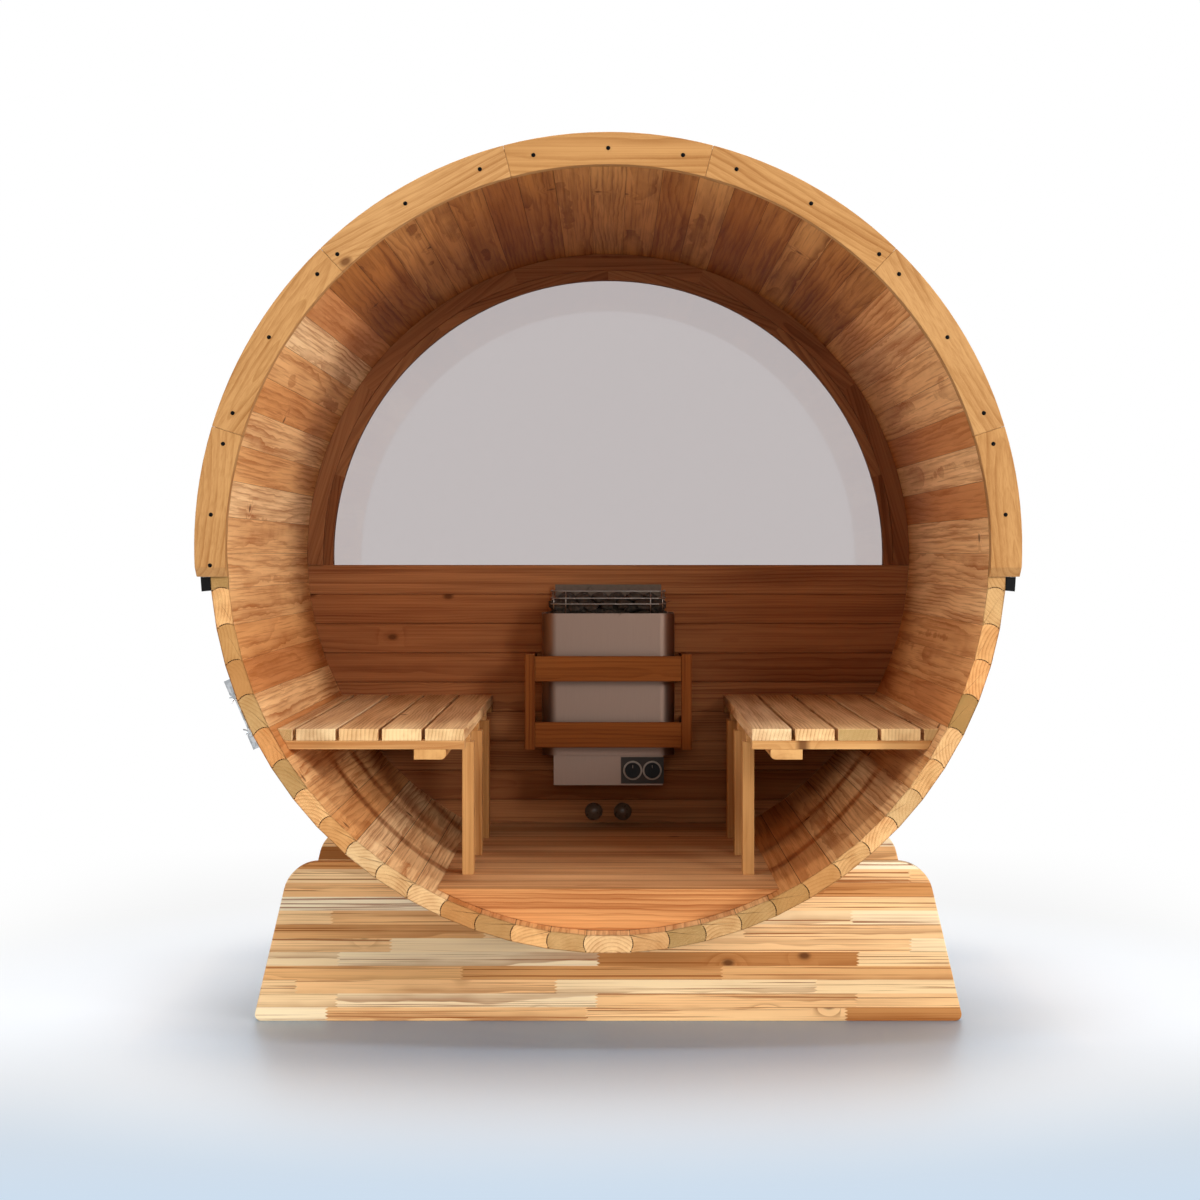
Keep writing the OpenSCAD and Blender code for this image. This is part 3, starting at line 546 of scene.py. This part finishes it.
def wire(bm, points, radius, sides=10):
    """Sweeps a round wire through points."""
    rings = []
    for k, at in enumerate(points):
        ahead = points[min(k + 1, len(points) - 1)] - points[max(k - 1, 0)]
        turn = ahead.to_track_quat("Z", "X").to_matrix().to_4x4()
        rings.append(ring_of(bm, Matrix.Translation(at) @ turn, radius, sides))
    skin(bm, rings)


def trim_screws():
    """Domed black screw heads with a sunk drive, along both trims."""
    head_r, head_rise, sides = 4.8 * MM, 1.6 * MM, 20
    row_r = (trim_r + room_r) / 2
    turns = [0] + [s * t for t in SCREW_TURNS[1:] for s in (-1, 1)] + [FOOT_SCREW_TURN]
    bm = bmesh.new()
    for toward, edge in ((-1, front_y), (1, back_y)):
        lay = Vector((0, toward, -slope)).to_track_quat("Z", "X").to_matrix().to_4x4()
        for turn in map(math.radians, turns):
            z = axis_z + row_r * math.cos(turn)
            at = Vector((row_r * math.sin(turn), edge + toward * (trim_thick + slanted_end(z)), z))
            place = Matrix.Translation(at) @ lay
            skin(bm, [ring_of(bm, place, head_r * share, sides, head_rise * rise)
                      for share, rise in HEAD_PROFILE], first_cap=False)
    bmesh.ops.recalc_face_normals(bm, faces=bm.faces)
    shown("trim_screws", bm, screw_black)


def slab(bm, corners, lifts, thick, tone):
    """A thin slab on four corners, each lifted away from the barrel's axis."""
    low, high = [], []
    for corner, lift in zip(corners, lifts):
        out = Vector((corner.x, 0, corner.z - axis_z)).normalized()
        low.append(bm.verts.new(corner + out * lift))
        high.append(bm.verts.new(corner + out * (lift + thick)))
    made = [bm.faces.new(high), bm.faces.new(low[::-1])]
    made += [bm.faces.new((low[k - 1], low[k], high[k], high[k - 1])) for k in range(4)]
    for face in made:
        face[bm.faces.layers.float["tab"]] = tone


def roof_shingles():
    """Courses of felt shingles from the eaves to the ridge, each lapped over the one below."""
    courses, eave = 10, math.radians(92.5)
    tab, slit, least, thick, tuck = 330 * MM, 7 * MM, 30 * MM, 2.4 * MM, 22 * MM
    lift, lap, bends = 0.3 * MM, 2.6 * MM, 4
    clear = 1.5 * MM
    step = eave / courses
    for side, name in ((-1, "left"), (1, "right")):
        bm = bmesh.new()
        bm.faces.layers.float.new("tab")
        for row in range(courses):
            upper, lower = row * step - (tuck / roof_r if row else 0), (row + 1) * step
            reach = slanted_end(axis_z + roof_r * math.cos(lower))
            first, last = front_y - reach, back_y + reach
            y = first - (row % 2) * tab / 2
            while y < last:
                y0, y1 = max(y + slit / 2, first + clear), min(y + tab - slit / 2, last - clear)
                y += tab
                if y1 - y0 < least:
                    continue
                tone = random.random()
                for part in range(bends):
                    (a0, l0), (a1, l1) = ((upper + (lower - upper) * k / bends, lift + lap * k / bends)
                                          for k in (part, part + 1))
                    corners = [roof_point(side * a, at) for a, at in ((a0, y0), (a0, y1), (a1, y1), (a1, y0))]
                    slab(bm, corners, (l0, l0, l1, l1), thick, tone)
        bmesh.ops.recalc_face_normals(bm, faces=bm.faces)
        shown(name + "_shingles", bm, felt_granules)


def ridge_caps():
    """Cap shingles bent over the ridge, each lapped by the next one."""
    cap, lap, half, thick, bends = 210 * MM, 12 * MM, math.radians(8.5), 2.0 * MM, 8
    clear, least = 2 * MM, 20 * MM
    over, under = 4.2 * MM, 3.2 * MM
    reach = slanted_end(axis_z + roof_r)
    bm = bmesh.new()
    bm.faces.layers.float.new("tab")
    y, last = front_y - reach + clear, back_y + reach - clear
    while y < last - least:
        y1 = min(y + cap + lap, last)
        tone = random.random()
        for part in range(bends):
            a0, a1 = (-half + 2 * half * k / bends for k in (part, part + 1))
            corners = [roof_point(a, at) for a, at in ((a0, y), (a0, y1), (a1, y1), (a1, y))]
            slab(bm, corners, (over, under, under, over), thick, tone)
        y += cap
    bmesh.ops.recalc_face_normals(bm, faces=bm.faces)
    shown("ridge_caps", bm, felt_granules)


def crushed_stone(bm, at, size):
    """One broken stone: a hull round scattered points, with its edges worn."""
    corners, worn = 15, 0.07
    points = []
    for _ in range(corners):
        way = Vector((random.gauss(0, 1), random.gauss(0, 1), random.gauss(0, 1))).normalized()
        points.append(bm.verts.new(at + way * Vector((1, STONE_DEEP, STONE_FLAT)) * size))
    made = bmesh.ops.convex_hull(bm, input=points)
    inside = [v for v in made["geom_interior"] if isinstance(v, bmesh.types.BMVert)]
    bmesh.ops.delete(bm, geom=inside, context="VERTS")
    edges = [e for v in points if v.is_valid for e in v.link_edges]
    bmesh.ops.bevel(bm, geom=list(dict.fromkeys(edges)), offset=size * worn, segments=1, profile=0.5,
                    affect="EDGES")


def heap_of_stones():
    """Layers of broken stones in the heater, every second layer set between the stones below."""
    low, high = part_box("stones")
    size, smallest, heap, jolt_mm = 30 * MM, 0.78, 12 * MM, 4
    half_high = size * STONE_FLAT
    layers, gaps_across, gaps_deep = 4, 6, 4
    bm = bmesh.new()
    for layer in range(layers):
        z = low[2] + half_high + (high[2] - low[2] + heap - 2 * half_high) * layer / (layers - 1)
        between = layer % 2
        for i in range(gaps_across + 1 - between):
            for j in range(gaps_deep + 1 - between):
                x = low[0] + size + (high[0] - low[0] - 2 * size) * (i + 0.5 * between) / gaps_across
                y = low[1] + size + (high[1] - low[1] - 2 * size) * (j + 0.5 * between) / gaps_deep
                jolt = Vector([random.uniform(-jolt_mm, jolt_mm) * MM for _ in range(3)])
                crushed_stone(bm, Vector((x, y, z)) + jolt, size * random.uniform(smallest, 1.0))
    bmesh.ops.recalc_face_normals(bm, faces=bm.faces)
    shown("stone_heap", bm, sauna_stone, node="stones")


def strap(bm, place, path, thick, width):
    """Bends a flat strap along a path drawn in the X and Z of a place."""
    rings = []
    edge = Vector((0, width / 2, 0))
    for k, (x, z) in enumerate(path):
        before, after = path[max(k - 1, 0)], path[min(k + 1, len(path) - 1)]
        way = Vector((after[0] - before[0], 0, after[1] - before[1])).normalized()
        side = Vector((-way.z, 0, way.x)) * thick / 2
        at = Vector((x, 0, z))
        rings.append([bm.verts.new(place @ corner) for corner in
                      (at + side - edge, at + side + edge, at - side + edge, at - side - edge)])
    skin(bm, rings)


def band_draws():
    """Where each band's ends are drawn together: a strap folded round a pin at each end, with cheeks
    at its sides, a threaded rod between them and a wing nut on the rod before each fold."""
    turn, lug, gap, thick, fold_r, pin_r = math.radians(66.5), 40 * MM, 92 * MM, 2.0 * MM, 7.0 * MM, 3.0 * MM
    nut_r, nut_long, wing, wing_r = 6.5 * MM, 6.0 * MM, 13 * MM, 1.6 * MM
    rod_r, root_share, threads, crest_share, fold_steps = 3.6 * MM, 0.88, 44, 0.7, 10
    rod_z = fold_r + thick / 2
    inner, outer = gap / 2 + fold_r, gap / 2 + lug
    bm = bmesh.new()
    for node in ("front_band", "rear_band"):
        low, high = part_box(node)
        half = (high[1] - low[1]) / 2
        foot = (high[0] - low[0]) / 2
        lay = Matrix.Translation((0, (low[1] + high[1]) / 2, axis_z)) @ Matrix.Rotation(turn, 4, "Y")
        lay = lay @ Matrix.Translation((0, 0, -foot)) @ Matrix.Rotation(math.pi, 4, "X")
        rods = [(-gap / 2, gap / 2, rod_r * root_share, 12)]
        rods += [(-gap / 2 + gap * k / threads, -gap / 2 + gap * (k + crest_share) / threads, rod_r, 12)
                 for k in range(threads)]
        for s in (-1, 1):
            fold = [(s * (inner - fold_r * math.sin(t)), rod_z - fold_r * math.cos(t))
                    for t in (math.pi * k / fold_steps for k in range(fold_steps + 1))]
            path = [(s * outer, thick / 2)] + fold + [(s * outer, 2 * fold_r + thick / 2)]
            strap(bm, lay, path, thick, 2 * half)
            for y in (thick - half, half - thick):
                skin(bm, [[bm.verts.new(lay @ Vector((x, y + side * thick / 2, z))) for x, z in path]
                          for side in (-1, 1)])
            wire(bm, [lay @ Vector((s * inner, y, rod_z)) for y in (-half - thick, half + thick)], pin_r, 14)
            nut_x = s * (gap / 2 - nut_long)
            rods.append((nut_x, nut_x + s * nut_long, nut_r, 6))
            for lean in (-1, 1):
                tip = Vector((nut_x + lean * wing * 0.5, 0, rod_z + wing))
                wire(bm, [lay @ Vector((nut_x + s * nut_long / 2, 0, rod_z)), lay @ tip], wing_r, 8)
        for start, stop, radius, sides in rods:
            wire(bm, [lay @ Vector((x, 0, rod_z)) for x in (start, stop)], radius, sides)
    bmesh.ops.recalc_face_normals(bm, faces=bm.faces)
    shown("band_draws", bm, galvanised, node="band_tensioners")


def stone_guard_wires():
    """Bent wires round the stones, on upright wires."""
    low, high = (Vector(c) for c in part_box("stone_guard"))
    radius, post_r, bend, bend_steps, proud = 1.8 * MM, 1.53 * MM, 26 * MM, 6, 14 * MM
    bm = bmesh.new()
    front, back = low.y + radius, high.y - radius
    side = high.x - radius
    top = high.z + proud
    for share in (0.42, 0.68, 1.0):
        z = low.z + (top - low.z) * share
        path = [Vector((-side, back, z))]
        for s in (-1, 1):
            corner = [Vector((s * (side - bend + bend * math.sin(t)), front + bend - bend * math.cos(t), z))
                      for t in (math.pi / 2 * k / bend_steps for k in range(bend_steps + 1))]
            path += corner[::-1] if s < 0 else corner
        path.append(Vector((side, back, z)))
        wire(bm, path, radius)
    for s in (-1, 1):
        for x, y in ((side - bend * 0.3, front + bend * 0.3), (side * 0.74, front), (side, back - bend)):
            wire(bm, [Vector((s * x, y, low.z)), Vector((s * x, y, top))], post_r)
    bmesh.ops.recalc_face_normals(bm, faces=bm.faces)
    shown("stone_guard_wires", bm, bright_wire, node="stone_guard", smooth=True)


def dial_fittings():
    """A pale printed ring with a rounded edge round each dial, and a pointer that turns with the dial."""
    panel_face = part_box("control_panel")[0][1]
    play, ring_wide, proud, sides = 0.4 * MM, 5.0 * MM, 0.8 * MM, 48
    pointer_wide, pointer_rise, pointer_ease = 1.6 * MM, 0.7 * MM, 0.4 * MM
    pointer_long, pointer_out = 0.4, 0.55
    for body in ("timer", "thermostat"):
        low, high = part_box(body + "_dial")
        x, z = (low[0] + high[0]) / 2, (low[2] + high[2]) / 2
        dial_r = (high[0] - low[0]) / 2
        inner, outer = dial_r + play, dial_r + play + ring_wide
        bm = bmesh.new()
        on_panel = Matrix.Translation((x, panel_face, z)) @ Matrix.Rotation(math.radians(90), 4, "X")
        skin(bm, [ring_of(bm, on_panel, r, sides, out) for r, out in
                  ((inner, 0), (inner, proud), (outer - proud / 2, proud), (outer, proud / 2), (outer, 0))],
             first_cap=False, last_cap=False)
        bmesh.ops.recalc_face_normals(bm, faces=bm.faces)
        shown(body + "_ring", bm, ring_print)
        bm = bmesh.new()
        made = bmesh.ops.create_cube(bm, size=1.0)
        bmesh.ops.scale(bm, verts=made["verts"], vec=(pointer_wide, 2 * pointer_rise, dial_r * pointer_long))
        bmesh.ops.translate(bm, verts=made["verts"], vec=(x, low[1], z + dial_r * pointer_out))
        bmesh.ops.bevel(bm, geom=list(bm.edges), offset=pointer_ease, segments=2, profile=0.6, affect="EDGES")
        shown(body + "_pointer", bm, ring_print, body=body)


trim_screws()
roof_shingles()
ridge_caps()
heap_of_stones()
stone_guard_wires()
band_draws()
dial_fittings()


# Camera and light

# Each lamp's place, what it points at, its width in metres, its watts, and if steel and glass mirror it
LAMPS = {"side_right": ((10.7, -9.2, 3.0), (-0.3, 0, 1.0), 2.4, 1030, True),
         "side_left": ((-5.2, -4.6, 2.2), (0.3, 0, 1.0), 1.2, 128, True),
         "front_right": ((2.6, -6.0, 2.4), (-0.3, 0, 1.0), 1.5, 106, True),
         "front": ((0, -8.5, 1.7), (0, 0, 1.0), 1.5, 72, False),
         "over_front": ((-0.2, -2.6, 5.6), (0, -0.9, 0.6), 1.4, 80, True),
         "above": ((0, 0.3, 6.5), (0, 0, 1.0), 4.0, 420, True),
         "behind": ((0, 6.5, 4.0), (0, 0, 1.0), 3.0, 260, True)}
WHITE = (1, 1, 1, 1)
SKY_FILL = 0.08
# In metres: half the floor, where the white ground takes over, the tint's reach from behind to before
# the sauna and to its sides, and how far round a point of the floor the painted shade is gathered
FLOOR_HALF = 40.0
GROUND_FADE = (1.1, 2.3)
TINT_DEPTH = (3.6, -6.4)
TINT_WIDTH = (1.15, 2.2)
SHADE_REACH = 0.7


def set_camera():
    """Looks straight along the barrel's axis, framed as in the photograph."""
    data = bpy.data.cameras.new("camera")
    data.sensor_width = SENSOR_MM
    data.lens = CAMERA_AWAY / MM / MM_PER_PX / PHOTO_PX * SENSOR_MM
    data.shift_x = (PHOTO_PX / 2 - VANISHING_PX[0]) / PHOTO_PX
    data.shift_y = (VANISHING_PX[1] - PHOTO_PX / 2) / PHOTO_PX
    camera = bpy.data.objects.new("camera", data)
    camera.location = (0, front_y - CAMERA_AWAY, axis_z)
    camera.rotation_euler = (math.radians(90), 0, 0)
    scene.collection.objects.link(camera)
    scene.camera = camera


def sees_ground(tree):
    """1 for the rays that show the white ground: the camera's own, and those through glass or off a shine."""
    path = add(tree, "LightPath").outputs
    straight = add(tree, "Math", [path["Is Camera Ray"], path["Is Transmission Ray"]], operation="MAXIMUM")
    return add(tree, "Math", [straight, path["Is Glossy Ray"]], operation="MAXIMUM")


def set_light():
    """Soft round lamps, the strongest from the right, in a white studio that adds only a little light."""
    for name, (at, towards, size, watts, mirrored) in LAMPS.items():
        data = bpy.data.lights.new(name, "AREA")
        data.shape = "DISK"
        data.size = size
        data.energy = watts
        lamp = bpy.data.objects.new(name, data)
        lamp.location = at
        lamp.visible_camera = False
        lamp.visible_transmission = False
        lamp.visible_glossy = mirrored
        lamp.rotation_euler = (Vector(towards) - Vector(at)).to_track_quat("-Z", "Y").to_euler()
        scene.collection.objects.link(lamp)
    scene.world = bpy.data.worlds.new("studio")
    scene.world.use_nodes = True
    tree = scene.world.node_tree
    tree.nodes.clear()
    strength = add(tree, "MapRange", [sees_ground(tree), 0, 1, SKY_FILL, 1])
    backdrop = add(tree, "Background", {"Color": WHITE, "Strength": strength})
    add(tree, "OutputWorld", {"Surface": backdrop})


def set_floor():
    """A pale painted floor: matt, with painted shade that turns it darker and bluish near and under the
    sauna, and fading into a white ground that has a faint cool tint in front of it."""
    s = FLOOR_HALF
    mesh = bpy.data.meshes.new("studio_floor")
    mesh.from_pydata([(-s, -s, 0), (s, -s, 0), (s, s, 0), (-s, s, 0)], [], [(0, 1, 2, 3)])
    floor = bpy.data.objects.new("studio_floor", mesh)
    made, tree = material("painted_studio_floor")
    where = add(tree, "TexCoord").outputs["Object"]
    x, y, _ = add(tree, "SeparateXYZ", [where]).outputs
    nearer = add(tree, "MapRange", [y, *TINT_DEPTH])
    tint = add(tree, "ValToRGB", [nearer], ((0.0, "#ffffff"), (0.33, "#ececec"), (0.48, "#dcdfe2"),
                                            (0.6, "#cddeef"), (0.66, "#cddeef"), (1.0, "#ffffff")))
    beside = add(tree, "Math", [x], operation="ABSOLUTE")
    in_front = add(tree, "MapRange", [beside, *TINT_WIDTH, 1, 0], interpolation_type="SMOOTHSTEP")
    tinted = add(tree, "Mix", [in_front, WHITE, tint], data_type="RGBA")
    ground = add(tree, "Emission", {"Color": tinted, "Strength": 1.0})
    # Painted shade: near and under the sauna the floor's own colour darkens to blue-grey with ambient
    # occlusion.
    open_sky = add(tree, "AmbientOcclusion", {"Distance": SHADE_REACH}, samples=2).outputs["AO"]
    shade = add(tree, "ValToRGB", [open_sky], ((0.35, "#7d9ebf"), (0.9, "#d0d5db")))
    paint = add(tree, "BsdfPrincipled", {"Base Color": shade, "Roughness": 0.4})
    away = add(tree, "VectorMath", [where], operation="LENGTH")
    fade = add(tree, "MapRange", [away, *GROUND_FADE], interpolation_type="SMOOTHSTEP")
    amount = add(tree, "Math", [fade, sees_ground(tree)], operation="MULTIPLY")
    add(tree, "OutputMaterial", {"Surface": add(tree, "MixShader", [amount, paint, ground])})
    mesh.materials.append(made)
    scene.collection.objects.link(floor)


set_camera()
set_light()
set_floor()
scene.view_settings.view_transform = "Standard"
